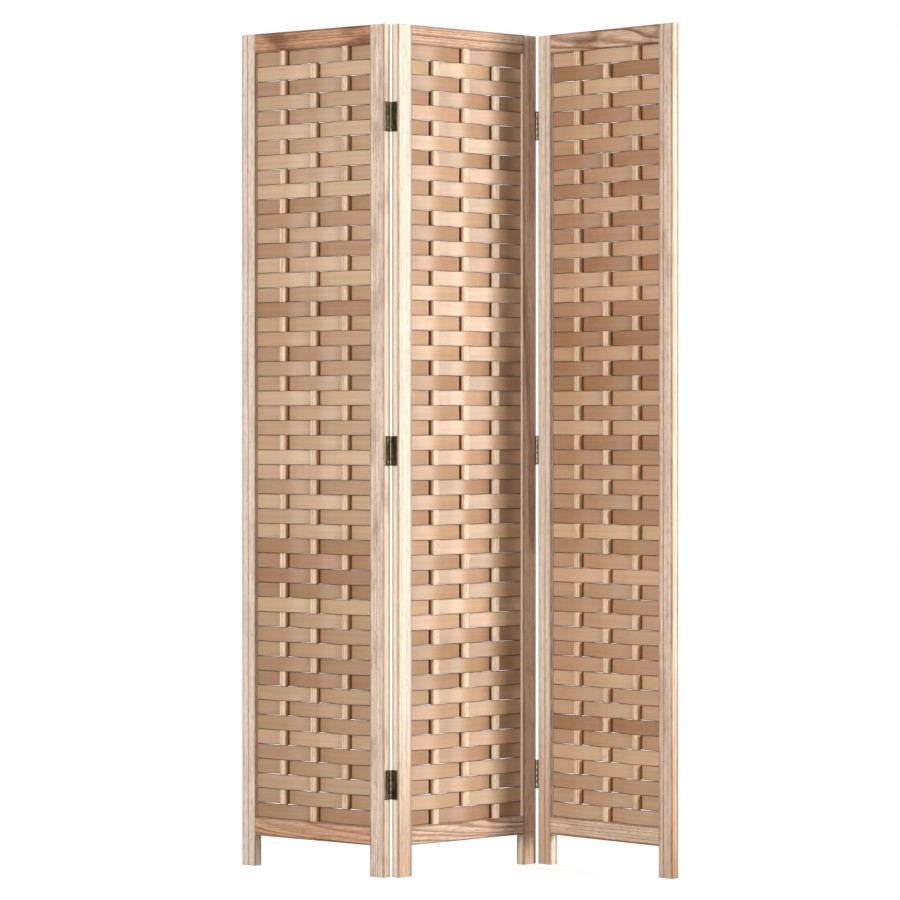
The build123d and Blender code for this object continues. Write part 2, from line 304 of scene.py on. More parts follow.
# Pith place across and through the stile in mm and its slope; tone, torch and wave in mm; the foot's toning.
stile_cuts = {
    ("left", -1): ((150, 40, 0.004), (0.00, 0.12, 5), (0.00, 0.00)),
    ("left", 1): ((-120, 60, -0.006), (0.08, 0.40, 9), (0.00, 0.15)),
    ("middle", -1): ((170, -50, 0.003), (-0.12, 0.00, 5), (0.60, 0.00)),
    ("middle", 1): ((14, 140, 0.006), (0.42, 0.00, 8), (0.00, 0.00)),
    ("right", -1): ((140, 70, -0.004), (-0.05, 0.05, 6), (0.48, 0.00)),
    ("right", 1): ((-160, -45, 0.005), (0.12, 0.25, 10), (0.14, 0.60)),
}
for (panel, side), (log_mm, finish, foot) in stile_cuts.items():
    inner_x = side * opening_half
    outer_x = side * PANEL_WIDTH / 2
    low = Vector((min(inner_x, outer_x), -FRAME_THICKNESS / 2, 0))
    high = Vector((max(inner_x, outer_x), FRAME_THICKNESS / 2, PANEL_HEIGHT))
    board = cut_board(low, high, lambda spot: spot.x * side < -STILE_WIDTH / 4)
    sink_groove(board, inner_x)
    mesh = make_mesh(board, torched_paulownia)
    write_grain(mesh, low, high, 2, 0, log_mm, finish, foot)
    mesh.transform(panel_places[panel])
    node = f"{panel}_panel_{'right' if side > 0 else 'left'}_stile"
    seat_piece(node + "_board", mesh, panel + "_panel", "frame_wood", node)

# Rails: one across the top of each panel and one above the legs, of the same torched wood as the stiles,
# butted between them on hidden tenons. Some are flat sawn and show arched figure.
rail_cuts = {
    ("left", "top"): ((130, 30, 0.010), (0.75, 0.74, 5)),
    ("left", "bottom"): ((30, 60, 0.030), (0.68, 0.35, 22)),
    ("middle", "top"): ((150, 40, 0.012), (0.50, 0.30, 4)),
    ("middle", "bottom"): ((28, 30, 0.045), (0.36, 0.00, 14)),
    ("right", "top"): ((25, 70, 0.040), (0.45, 0.80, 18)),
    ("right", "bottom"): ((130, 50, 0.020), (0.34, 0.15, 6)),
}
for (panel, level), (log_mm, finish) in rail_cuts.items():
    foot = opening_top if level == "top" else LEG_HEIGHT
    outward = 1 if level == "top" else -1
    low = Vector((-opening_half, -FRAME_THICKNESS / 2, foot))
    high = Vector((opening_half, FRAME_THICKNESS / 2, foot + RAIL_WIDTH))
    board = cut_board(
        low, high, lambda spot: spot.z * outward < RAIL_WIDTH / 4 or abs(spot.x) > opening_half / 2)
    mesh = make_mesh(board, torched_paulownia)
    write_grain(mesh, low, high, 0, 2, log_mm, finish)
    mesh.transform(panel_places[panel])
    node = f"{panel}_panel_{level}_rail"
    seat_piece(node + "_board", mesh, panel + "_panel", "frame_wood", node)

# Slats: three uprights in each panel, planed from pale sapwood with rounded corners, their ends let into
# the rails. The strips are woven round them.
SLAT_COUNT = 3
SLAT_SPACING = 87.5 * MM
SLAT_WIDTH = 17 * MM
SLAT_THICKNESS = 11 * MM
SLAT_CORNER = 1.8 * MM
SLAT_SEAT = 10 * MM

# Sapwood of the same tree, planed and left bare: cream, with fine straight growth lines and hardly any
# char. The right-hand sides are darkened brown as painted shade.
bare_sapwood = solid_wood(
    "bare_sapwood", early="#f8ead6", late="#c79f79", toned="#dcbd9c", burnt="#b98a63", sawn_edge="#e6ccaa",
    scorch_and_shade="#c99b71", ring_mm=4.6, line_depth=0.7, painted_flank_shade=1.0)


def new_tree(name, inputs):
    """A geometry tree with named inputs, and its input node's sockets by name."""
    tree = bpy.data.node_groups.new(name, "GeometryNodeTree")
    for label, kind in inputs.items():
        tree.interface.new_socket(label, in_out="INPUT", socket_type="NodeSocket" + kind)
    tree.interface.new_socket("Geometry", in_out="OUTPUT", socket_type="NodeSocketGeometry")
    return tree, add_node(tree, "NodeGroupInput").outputs


def finish_tree(tree, instances, material):
    """Ends a tree by making its copies real and giving them their material."""
    real = add_node(tree, "GeometryNodeRealizeInstances", {0: instances})
    dressed = add_node(tree, "GeometryNodeSetMaterial", {"Geometry": real, "Material": material})
    add_node(tree, "NodeGroupOutput", {0: dressed})


def grow(tree, **sizes):
    """Runs a tree with the sizes given and returns what it makes as one plain mesh."""
    carrier = bpy.data.objects.new(tree.name, bpy.data.meshes.new(tree.name))
    bpy.context.scene.collection.objects.link(carrier)
    modifier = carrier.modifiers.new(tree.name, "NODES")
    modifier.node_group = tree
    for socket in tree.interface.items_tree:
        if socket.in_out == "INPUT":
            modifier[socket.identifier] = sizes[socket.name.lower().replace(" ", "_")]
    evaluated = carrier.evaluated_get(bpy.context.evaluated_depsgraph_get())
    mesh = bpy.data.meshes.new_from_object(evaluated)
    bpy.data.objects.remove(carrier)
    return mesh


slat_tree, size = new_tree("upright slats", {
    "Count": "Int", "Spacing": "Float", "Width": "Float", "Thickness": "Float", "Corner": "Float",
    "Foot": "Float", "Length": "Float", "Tone": "Float", "Seed": "Int"})
profile = add_node(slat_tree, "GeometryNodeCurvePrimitiveQuadrilateral",
                   {0: size["Width"], 1: size["Thickness"]})
profile = add_node(slat_tree, "GeometryNodeFilletCurve",
                   {"Curve": profile, "Radius": size["Corner"], "Count": 3}, mode="POLY")
foot = add_node(slat_tree, "ShaderNodeCombineXYZ", {"Z": size["Foot"]})
head = add_node(slat_tree, "ShaderNodeMath", {0: size["Foot"], 1: size["Length"]}, operation="ADD")
head = add_node(slat_tree, "ShaderNodeCombineXYZ", {"Z": head})
core = add_node(slat_tree, "GeometryNodeCurvePrimitiveLine", {"Start": foot, "End": head})
slat = add_node(slat_tree, "GeometryNodeCurveToMesh",
                {"Curve": core, "Profile Curve": profile, "Fill Caps": True})
spot = add_node(slat_tree, "GeometryNodeInputPosition")
spot = add_node(slat_tree, "ShaderNodeSeparateXYZ", {0: spot}).outputs
grain = add_node(slat_tree, "ShaderNodeCombineXYZ", {0: spot[2], 1: spot[0], 2: spot[1]})
side = add_node(slat_tree, "ShaderNodeMath", {0: spot[0], 1: size["Width"]}, operation="DIVIDE")
face = add_node(slat_tree, "ShaderNodeMath", {0: spot[1], 1: size["Thickness"]}, operation="DIVIDE")
edge = add_node(slat_tree, "ShaderNodeCombineXYZ", {1: side, 2: face})
edge = add_node(slat_tree, "ShaderNodeVectorMath", {0: edge, "Scale": 2.0}, operation="SCALE")
for label, value in (("grain", grain), ("edge", edge)):
    slat = add_node(slat_tree, "GeometryNodeStoreNamedAttribute",
                    {"Geometry": slat, "Name": label, "Value": value}, data_type="FLOAT_VECTOR")
last = add_node(slat_tree, "ShaderNodeMath", {0: size["Count"], 1: 1.0}, operation="SUBTRACT")
span = add_node(slat_tree, "ShaderNodeMath", {0: last, 1: size["Spacing"]}, operation="MULTIPLY")
first = add_node(slat_tree, "ShaderNodeMath", {0: span, 1: -0.5}, operation="MULTIPLY")
start = add_node(slat_tree, "ShaderNodeCombineXYZ", {"X": first})
step = add_node(slat_tree, "ShaderNodeCombineXYZ", {"X": size["Spacing"]})
row = add_node(slat_tree, "GeometryNodeMeshLine",
               {"Count": size["Count"], "Start Location": start, "Offset": step})
slats = add_node(slat_tree, "GeometryNodeInstanceOnPoints", {"Points": row, "Instance": slat})

# Each slat gets its own log, and its own tone, torching and wave.
log = add_node(slat_tree, "FunctionNodeRandomValue",
               {0: (-90 * MM, 30 * MM, -0.006), 1: (90 * MM, 120 * MM, 0.006), "Seed": size["Seed"]},
               data_type="FLOAT_VECTOR")
least = add_node(slat_tree, "ShaderNodeCombineXYZ", {0: size["Tone"], 2: 2 * MM})
most = add_node(slat_tree, "ShaderNodeMath", {0: size["Tone"], 1: 0.4}, operation="ADD")
most = add_node(slat_tree, "ShaderNodeCombineXYZ", {0: most, 1: 0.35, 2: 6 * MM})
finish = add_node(slat_tree, "FunctionNodeRandomValue", {0: least, 1: most, "Seed": size["Seed"]},
                  data_type="FLOAT_VECTOR")
for label, value in (("log", log), ("finish", finish)):
    slats = add_node(slat_tree, "GeometryNodeStoreNamedAttribute",
                     {"Geometry": slats, "Name": label, "Value": value},
                     data_type="FLOAT_VECTOR", domain="INSTANCE")
finish_tree(slat_tree, slats, bare_sapwood)

# The least tone that a slat of each panel can have.
slat_tones = {"left": 0.1, "middle": 0.0, "right": 0.2}
for seed, (panel, place) in enumerate(panel_places.items()):
    mesh = grow(slat_tree, count=SLAT_COUNT, spacing=SLAT_SPACING, width=SLAT_WIDTH,
                thickness=SLAT_THICKNESS, corner=SLAT_CORNER, foot=opening_foot - SLAT_SEAT,
                length=opening_top - opening_foot + 2 * SLAT_SEAT, tone=slat_tones[panel], seed=seed)
    mesh.transform(place)
    nodes = [f"{panel}_panel_{side}_slat" for side in ("left", "middle", "right")]
    seat_piece(panel + "_panel_slats_bare", mesh, panel + "_panel", "slat_wood", *nodes)

# Woven strips: thin flat strips sliced from steamed wood, one to a row, bent in front of one slat and
# behind the next and held at both ends in the stiles' grooves. Every other row starts on the other side.
ROW_COUNT = 52
STRIP_WIDTH = 31.75 * MM
STRIP_THICKNESS = 1.4 * MM
STRIP_SEAT = 7 * MM
STRIP_SLACK = 1.6 * MM
ROW_SHADE_REACH = 2 * MM
PINCH_SHADE_REACH = 5 * MM
STEPS_INSIDE = 5
STEPS_OUTSIDE = 4
ROW_TILT = radians(0.04)
half_steps = STEPS_INSIDE + STEPS_OUTSIDE
crest = (SLAT_THICKNESS + STRIP_THICKNESS) / 2 + STRIP_SLACK


def strip_wood():
    """Steamed sliced wood: one tone to a strip, straw to reddish brown, fine figure, soft sheen."""
    material = new_material("steamed_strip_wood")
    tree = material.node_tree
    grain = add_node(tree, "ShaderNodeAttribute", attribute_name="grain").outputs["Vector"]
    batch = add_node(tree, "ShaderNodeAttribute", attribute_name="batch").outputs["Vector"]
    tone, hue, _ = add_node(tree, "ShaderNodeSeparateXYZ", {0: batch}).outputs

    # The batch moves each strip to a place of its own in the patterns.
    spot = add_node(tree, "ShaderNodeVectorMath", {0: batch, 1: (37.0, 11.0, 53.0), 2: grain},
                    operation="MULTIPLY_ADD")
    ruddy = add_node(tree, "ShaderNodeMapRange", {0: hue, 1: 0.4, 2: 1.0, 4: 0.36})
    straw = add_node(tree, "ShaderNodeMapRange", {0: hue, 1: 0.0, 2: 0.4, 3: 0.4, 4: 0.0})

    # Broad figure some 8 mm by 300 mm, and fibres drawn 2.5 mm wide so that they show.
    figure_at = add_node(tree, "ShaderNodeMapping", {"Vector": spot, "Scale": (3.2, 60, 120)})
    figure = add_node(tree, "ShaderNodeTexNoise", {"Vector": figure_at, "Scale": 1.0, "Detail": 2.0})
    figure = add_node(tree, "ShaderNodeMapRange", {0: figure, 1: 0.3, 2: 0.7, 3: 0.94, 4: 1.05})
    fibre_at = add_node(tree, "ShaderNodeMapping", {"Vector": spot, "Scale": (10, 400, 400)})
    fibre = add_node(tree, "ShaderNodeTexNoise", {"Vector": fibre_at, "Scale": 1.0, "Detail": 2.0})
    shade = add_node(tree, "ShaderNodeMapRange", {0: fibre, 1: 0.3, 2: 0.7, 3: 0.97, 4: 1.02})

    # The sliced long edges are darkened over the last 2 mm: painted shade between the rows.
    across = add_node(tree, "ShaderNodeSeparateXYZ", {0: grain}).outputs["Z"]
    across = add_node(tree, "ShaderNodeMath", {0: across}, operation="ABSOLUTE")
    painted_row_shade = add_node(tree, "ShaderNodeMapRange",
                   {0: across, 1: STRIP_WIDTH / 2 - ROW_SHADE_REACH, 2: STRIP_WIDTH / 2, 4: 0.95})

    # Painted shade darkens the pinch, the 5 mm beside each slat that the strip passes behind.
    tuck = add_node(tree, "ShaderNodeAttribute", attribute_name="tuck").outputs["Fac"]
    painted_pinch_shade = add_node(tree, "ShaderNodeMapRange",
                     {0: tuck, 1: SLAT_WIDTH / 2, 2: SLAT_WIDTH / 2 + PINCH_SHADE_REACH, 3: 0.85, 4: 0.0},
                     interpolation_type="SMOOTHSTEP")

    # The strip's own tone comes first, its hue and figure go over it, then the painted shade at its edges
    # and beside the slats.
    colour = add_node(tree, "ShaderNodeMix", {0: tone, 6: linear("#d6b799"), 7: linear("#98704f")},
                      data_type="RGBA").outputs[2]
    for amount, paint in (
            (ruddy, linear("#e6c2b0")), (straw, linear("#ece4c0")), (1.0, figure), (1.0, shade),
            (painted_row_shade, linear("#4c3020")), (painted_pinch_shade, linear("#6b4a34"))):
        colour = add_node(tree, "ShaderNodeMix", {0: amount, 6: colour, 7: paint}, data_type="RGBA",
                          blend_type="MULTIPLY").outputs[2]
    bump = add_node(tree, "ShaderNodeBump", {"Strength": 0.15, "Distance": 0.2 * MM, "Height": fibre})
    gloss = add_node(tree, "ShaderNodeMapRange", {0: fibre, 1: 0.3, 2: 0.7, 3: 0.46, 4: 0.38})
    shader = add_node(tree, "ShaderNodeBsdfPrincipled",
                      {"Base Color": colour, "Roughness": gloss, "Normal": bump, "Specular IOR Level": 0.5})
    add_node(tree, "ShaderNodeOutputMaterial", {"Surface": shader})
    return material


weave_tree, size = new_tree("woven strips", {
    "Rows": "Int", "Pitch": "Float", "Top": "Float", "Width": "Float", "Thickness": "Float",
    "Reach": "Float", "Mouth": "Float", "Spacing": "Float", "Crest": "Float", "First": "Int",
    "Tilt": "Float", "Spread": "Float", "Seed": "Int"})
length = add_node(weave_tree, "ShaderNodeMath", {0: size["Reach"], 1: 2.0}, operation="MULTIPLY")
blank = add_node(weave_tree, "ShaderNodeCombineXYZ", {0: length, 1: size["Thickness"], 2: size["Width"]})
strip = add_node(weave_tree, "GeometryNodeMeshCube", {"Size": blank, "Vertices X": 2 * half_steps + 1})
place = add_node(weave_tree, "GeometryNodeInputPosition")
strip = add_node(weave_tree, "GeometryNodeStoreNamedAttribute",
                 {"Geometry": strip, "Name": "grain", "Value": place}, data_type="FLOAT_VECTOR")

# Each half has more steps from the middle slat to the outer one than from there to the stile.
flat = add_node(weave_tree, "ShaderNodeSeparateXYZ", {0: place}).outputs
share = add_node(weave_tree, "ShaderNodeMath", {0: flat[0], 1: size["Reach"]}, operation="DIVIDE")
hand = add_node(weave_tree, "ShaderNodeMath", {0: share}, operation="SIGN")
count = add_node(weave_tree, "ShaderNodeMath", {0: share}, operation="ABSOLUTE")
count = add_node(weave_tree, "ShaderNodeMath", {0: count, 1: half_steps}, operation="MULTIPLY")
inner = add_node(weave_tree, "ShaderNodeMapRange",
                 {0: count, 1: 0.0, 2: STEPS_INSIDE, 3: 0.0, 4: size["Spacing"]})
tail = add_node(weave_tree, "ShaderNodeMath", {0: size["Reach"], 1: size["Spacing"]}, operation="SUBTRACT")
outer = add_node(weave_tree, "ShaderNodeMapRange",
                 {0: count, 1: STEPS_INSIDE, 2: half_steps, 3: 0.0, 4: tail})
out = add_node(weave_tree, "ShaderNodeMath", {0: inner, 1: outer}, operation="ADD")

# How far each face of the strip is from the slat that it passes behind, which places the painted shade
# there.
front = add_node(weave_tree, "ShaderNodeMath", {0: flat[1], 1: 0.0}, operation="LESS_THAN")
beyond = add_node(weave_tree, "ShaderNodeMath", {0: out, 1: size["Spacing"]}, operation="SUBTRACT")
beyond = add_node(weave_tree, "ShaderNodeMath", {0: beyond}, operation="ABSOLUTE")
tuck = add_node(weave_tree, "ShaderNodeMix", {0: front, 2: beyond, 3: out})
strip = add_node(weave_tree, "GeometryNodeStoreNamedAttribute",
                 {"Geometry": strip, "Name": "tuck", "Value": tuck}, data_type="FLOAT")

# The bend is a cosine wave with a crest at each slat that dies away to nothing at the stile.
swing = add_node(weave_tree, "ShaderNodeMapRange", {0: out, 1: 0.0, 2: size["Spacing"], 3: 0.0, 4: pi})
swing = add_node(weave_tree, "ShaderNodeMath", {0: swing}, operation="COSINE")
fade = add_node(weave_tree, "ShaderNodeMapRange",
                {0: out, 1: size["Spacing"], 2: size["Mouth"], 3: 0.0, 4: pi})
fade = add_node(weave_tree, "ShaderNodeMath", {0: fade}, operation="COSINE")
fade = add_node(weave_tree, "ShaderNodeMath", {0: fade, 1: 0.5, 2: 0.5}, operation="MULTIPLY_ADD")
bend = add_node(weave_tree, "ShaderNodeMath", {0: swing, 1: fade}, operation="MULTIPLY")
bent_x = add_node(weave_tree, "ShaderNodeMath", {0: out, 1: hand}, operation="MULTIPLY")
bent_y = add_node(weave_tree, "ShaderNodeMath", {0: bend, 1: size["Crest"], 2: flat[1]},
                  operation="MULTIPLY_ADD")
bent = add_node(weave_tree, "ShaderNodeCombineXYZ", {0: bent_x, 1: bent_y, 2: flat[2]})
strip = add_node(weave_tree, "GeometryNodeSetPosition", {"Geometry": strip, "Position": bent})

# Rows run from the top down, every other one turned round, and each has a tilt and a batch of its own.
drop = add_node(weave_tree, "ShaderNodeMath", {0: size["Pitch"], 1: -1.0}, operation="MULTIPLY")
top_row = add_node(weave_tree, "ShaderNodeMath", {0: drop, 1: 0.5, 2: size["Top"]},
                   operation="MULTIPLY_ADD")
start = add_node(weave_tree, "ShaderNodeCombineXYZ", {"Z": top_row})
step = add_node(weave_tree, "ShaderNodeCombineXYZ", {"Z": drop})
rows = add_node(weave_tree, "GeometryNodeMeshLine",
                {"Count": size["Rows"], "Start Location": start, "Offset": step})
number = add_node(weave_tree, "GeometryNodeInputIndex")
turn = add_node(weave_tree, "ShaderNodeMath", {0: number, 1: size["First"]}, operation="ADD")
turn = add_node(weave_tree, "ShaderNodeMath", {0: turn, 1: 2.0}, operation="MODULO")
turn = add_node(weave_tree, "ShaderNodeMath", {0: turn, 1: pi}, operation="MULTIPLY")
least = add_node(weave_tree, "ShaderNodeMath", {0: size["Tilt"], 1: -1.0}, operation="MULTIPLY")
tilt = add_node(weave_tree, "FunctionNodeRandomValue", {2: least, 3: size["Tilt"], "Seed": size["Seed"]})
turn = add_node(weave_tree, "ShaderNodeCombineXYZ", {"Y": tilt.outputs[1], "Z": turn})
strips = add_node(weave_tree, "GeometryNodeInstanceOnPoints",
                  {"Points": rows, "Instance": strip, "Rotation": turn})
palest = add_node(weave_tree, "ShaderNodeMath", {0: size["Spread"], 1: -0.5, 2: 0.5},
                  operation="MULTIPLY_ADD")
palest = add_node(weave_tree, "ShaderNodeCombineXYZ", {"X": palest})
darkest = add_node(weave_tree, "ShaderNodeMath", {0: size["Spread"], 1: 0.5, 2: 0.5},
                   operation="MULTIPLY_ADD")
darkest = add_node(weave_tree, "ShaderNodeCombineXYZ", {"X": darkest, "Y": 1.0, "Z": 1.0})
batch = add_node(weave_tree, "FunctionNodeRandomValue", {0: palest, 1: darkest, "Seed": size["Seed"]},
                 data_type="FLOAT_VECTOR")
strips = add_node(weave_tree, "GeometryNodeStoreNamedAttribute",
                  {"Geometry": strips, "Name": "batch", "Value": batch},
                  data_type="FLOAT_VECTOR", domain="INSTANCE")
finish_tree(weave_tree, strips, strip_wood())

# How far the strips of each panel differ in tone.
spreads = {"left": 0.7, "middle": 0.5, "right": 0.85}
for seed, (panel, place) in enumerate(panel_places.items()):
    mesh = grow(weave_tree, rows=ROW_COUNT, pitch=(opening_top - opening_foot) / ROW_COUNT, top=opening_top,
                width=STRIP_WIDTH, thickness=STRIP_THICKNESS, reach=opening_half + STRIP_SEAT,
                mouth=opening_half, spacing=SLAT_SPACING, crest=crest, tilt=ROW_TILT,
                first=0 if panel == "middle" else 1, spread=spreads[panel], seed=seed + 3)
    mesh.transform(place)
    nodes = [f"{panel}_panel_{rows}_strips" for rows in ("odd", "even")]
    seat_piece(panel + "_panel_woven_strips", mesh, panel + "_panel", "woven_strip", *nodes)

# Hinge leaves: pressed steel butt hinges with a dark bronze finish, two leaves to a hinge and three hinges
# to a fold. Each leaf is cut with tabs that are curled into knuckles, and is countersunk for three screws.
LEAF_HEIGHT = 63 * MM
LEAF_REACH = 17 * MM
LEAF_THICKNESS = 1.2 * MM
LEAF_SPLIT = 0.6 * MM
LEAF_CORNER = 1.5 * MM
CORNER_STEPS = 4
BARREL_RADIUS = 2.5 * MM
KNUCKLE_COUNT = 5
KNUCKLE_GAP = 0.3 * MM
CURL_START = radians(30)
CURL = radians(300)
CURL_STEPS = 20
HINGE_LEVELS = {"bottom": 195 * MM, "centre": 900 * MM, "top": 1605 * MM}
LEAF_CRANK = 0.1 * MM
LEAF_BREAK = 0.15 * MM
PRESSED_SHARP = radians(40)
BARREL_RUB = 0.55
SCREW_COUNT = 3
SCREW_PITCH = 24 * MM
SCREW_HEAD_RADIUS = 2.8 * MM
HOLE_RADIUS = 1.4 * MM
HOLE_PLAY = 0.25 * MM
DRILL_OVERRUN = 0.2 * MM
leaf_face = LEAF_SPLIT / 2
screw_column = BARREL_RADIUS + LEAF_REACH / 2


def bronzed_steel():
    """Bronze-plated steel, darkened and rubbed back: dark olive brown in clouds, its edges rubbed pale."""
    material = new_material("antique_bronzed_steel")
    tree = material.node_tree
    place = add_node(tree, "ShaderNodeTexCoord").outputs["Object"]
    cloud = add_node(tree, "ShaderNodeTexNoise", {"Vector": place, "Scale": 1 / (14 * MM), "Detail": 4.0})
    cloud = add_node(tree, "ShaderNodeMapRange", {0: cloud, 1: 0.35, 2: 0.68})
    colour = add_node(tree, "ShaderNodeMix", {0: cloud, 6: linear("#544b37"), 7: linear("#71654a")},
                      data_type="RGBA")
    rub = add_node(tree, "ShaderNodeAttribute", attribute_name="rub").outputs["Fac"]
    worn = add_node(tree, "ShaderNodeMapRange", {0: cloud, 3: 0.55, 4: 1.0})
    rub = add_node(tree, "ShaderNodeMath", {0: rub, 1: worn}, operation="MULTIPLY")
    colour = add_node(tree, "ShaderNodeMix", {0: rub, 6: colour.outputs[2], 7: linear("#c9c2b2")},
                      data_type="RGBA")
    grit = add_node(tree, "ShaderNodeTexNoise", {"Vector": place, "Scale": 1 / (0.8 * MM), "Detail": 2.0})
    rough = add_node(tree, "ShaderNodeMapRange", {0: cloud, 3: 0.42, 4: 0.5})
    rough = add_node(tree, "ShaderNodeMath", {0: rub, 1: -0.2, 2: rough}, operation="MULTIPLY_ADD")
    bump = add_node(tree, "ShaderNodeBump", {"Strength": 0.2, "Distance": 0.1 * MM, "Height": grit})
    shader = add_node(tree, "ShaderNodeBsdfPrincipled",
                      {"Base Color": colour.outputs[2], "Metallic": 1.0, "Roughness": rough,
                       "Normal": bump})
    add_node(tree, "ShaderNodeOutputMaterial", {"Surface": shader})
    return material


def bevel_and_rub(solid, width):
    """Breaks a metal piece's sharp edges, and marks the broken edges and the barrel as rubbed."""
    sharp = [e for e in solid.edges if len(e.link_faces) == 2 and e.calc_face_angle() > PRESSED_SHARP]
    broken = bmesh.ops.bevel(solid, geom=sharp, offset=width, segments=2, profile=0.5, affect="EDGES")
    layer = solid.verts.layers.float.new("rub")
    fresh = set(broken["faces"])
    for vertex in solid.verts:
        barrel = BARREL_RUB if vertex.co.xy.length < BARREL_RADIUS * 1.01 else 0.0
        vertex[layer] = 1.0 if all(face in fresh for face in vertex.link_faces) else barrel


def press_leaf(knuckle_rows):
    """A leaf about its pin line: a plate on a panel end that faces -X, its tabs curled round the pin."""
    pitch = LEAF_HEIGHT / KNUCKLE_COUNT
    half_knuckle = (pitch - KNUCKLE_GAP) / 2
    root = BARREL_RADIUS + KNUCKLE_GAP
    crank = BARREL_RADIUS - LEAF_CRANK
    tip = BARREL_RADIUS + LEAF_REACH
    outline = [(root, -LEAF_HEIGHT / 2)]
    for end in (-1, 1):
        for step in range(CORNER_STEPS + 1):
            angle = (step if end < 0 else CORNER_STEPS - step) * pi / 2 / CORNER_STEPS
            outline.append((tip - LEAF_CORNER * (1 - sin(angle)),
                            end * (LEAF_HEIGHT / 2 - LEAF_CORNER * (1 - cos(angle)))))
    outline.append((root, LEAF_HEIGHT / 2))
    for row in sorted(knuckle_rows, reverse=True):
        centre = (row + 0.5) * pitch - LEAF_HEIGHT / 2
        outline += [(root, centre + half_knuckle), (crank, centre + half_knuckle),
                    (crank, centre - half_knuckle), (root, centre - half_knuckle)]
    leaf = bmesh.new()
    plate = leaf.faces.new([leaf.verts.new((leaf_face, y, z)) for y, z in outline])
    raised = bmesh.ops.extrude_face_region(leaf, geom=[plate], use_keep_orig=True)
    raised = [v for v in raised["geom"] if isinstance(v, bmesh.types.BMVert)]
    bmesh.ops.translate(leaf, verts=raised, vec=(LEAF_THICKNESS, 0, 0))
    tabs = [f for f in leaf.faces if all(abs(v.co.y - crank) < 1e-6 for v in f.verts)]
    for tab in tabs:
        ring = list(tab.verts)
        tab_corners = [v.co.copy() for v in ring]
        leaf.faces.remove(tab)
        for step in range(CURL_STEPS + 1):
            angle = CURL_START - CURL * step / CURL_STEPS
            fresh = []
            for corner in tab_corners:
                radius = BARREL_RADIUS - (LEAF_THICKNESS if corner.x < leaf_face + LEAF_THICKNESS / 2 else 0)
                fresh.append(leaf.verts.new((radius * cos(angle), radius * sin(angle), corner.z)))
            for i in range(4):
                leaf.faces.new((ring[i], ring[i - 1], fresh[i - 1], fresh[i]))
            ring = fresh
        leaf.faces.new(ring)
    bmesh.ops.recalc_face_normals(leaf, faces=leaf.faces)
    return leaf


def countersink(leaf):
    """Sinks cone-shaped screw holes into a leaf's outer face and returns the leaf as a mesh."""
    drill = bmesh.new()
    for i in range(SCREW_COUNT):
        height = (i - (SCREW_COUNT - 1) / 2) * SCREW_PITCH
        seat = Matrix.Translation((leaf_face + LEAF_THICKNESS / 2, screw_column, height))
        bmesh.ops.create_cone(drill, cap_ends=True, segments=20, radius1=SCREW_HEAD_RADIUS + HOLE_PLAY,
                              radius2=HOLE_RADIUS, depth=LEAF_THICKNESS + DRILL_OVERRUN,
                              matrix=seat @ Matrix.Rotation(pi / 2, 4, "Y"))
    solids = []
    for name, solid in (("leaf blank", leaf), ("leaf drill", drill)):
        mesh = bpy.data.meshes.new(name)
        solid.to_mesh(mesh)
        solid.free()
        solids.append(bpy.data.objects.new(name, mesh))
        bpy.context.scene.collection.objects.link(solids[-1])
    cut = solids[0].modifiers.new("countersink", "BOOLEAN")
    cut.object = solids[1]
    cut.operation = "DIFFERENCE"
    cut.solver = "EXACT"
    evaluated = solids[0].evaluated_get(bpy.context.evaluated_depsgraph_get())
    drilled = bmesh.new()
    drilled.from_mesh(evaluated.to_mesh())
    for solid in solids:
        bpy.data.objects.remove(solid)
    bevel_and_rub(drilled, LEAF_BREAK)
    return make_mesh(drilled, bronze)


bronze = bronzed_steel()
outer_leaf = countersink(press_leaf(range(0, KNUCKLE_COUNT, 2)))
middle_leaf = countersink(press_leaf(range(1, KNUCKLE_COUNT, 2)))

# Each leaf's panel, the panel end that it is screwed to, and whether its barrel is in front (-1) or
# behind (1).
leaf_seats = {
    ("left", "outer"): ("left", 1, 1),
    ("left", "middle"): ("middle", -1, 1),
    ("right", "outer"): ("right", -1, -1),
    ("right", "middle"): ("middle", 1, -1),
}
hinge_turns = {}
for (fold, side), (panel, panel_end, barrel_side) in leaf_seats.items():
    flip = Matrix.Rotation(pi if barrel_side > 0 else 0, 4, "X")
    flip = flip @ Matrix.Rotation(pi if panel_end > 0 else 0, 4, "Y")
    out = Matrix.Translation(PIN_OUT * Vector((panel_end, barrel_side, 0)))
    hinge_turns[fold, side] = panel_places[panel] @ out, flip
    for level, height in HINGE_LEVELS.items():
        mesh = (outer_leaf if side == "outer" else middle_leaf).copy()
        mesh.transform(panel_places[panel] @ out @ Matrix.Translation((0, 0, height)) @ flip)
        node = f"{fold}_{level}_hinge_{side}_leaf"
        seat_piece(node + "_plate", mesh, panel + "_panel", "antique_bronze", node)

# Hinge pins: a steel rod through each hinge's five knuckles, cut flush and slightly rounded at both ends,
# with the same dark finish. They stay with the middle panel.
PIN_RADIUS = 1.25 * MM
PIN_ROUNDING = 0.4 * MM
for fold in ("left", "right"):
    for level, height in HINGE_LEVELS.items():
        rod = bmesh.new()
        bmesh.ops.create_cone(rod, cap_ends=True, segments=24, radius1=PIN_RADIUS, radius2=PIN_RADIUS,
                              depth=LEAF_HEIGHT)
        bevel_and_rub(rod, PIN_ROUNDING)
        mesh = make_mesh(rod, bronze)
        mesh.transform(hinge_turns[fold, "middle"][0] @ Matrix.Translation((0, 0, height)))
        node = f"{fold}_{level}_hinge_pin"
        seat_piece(node + "_rod", mesh, "middle_panel", "antique_bronze", node)

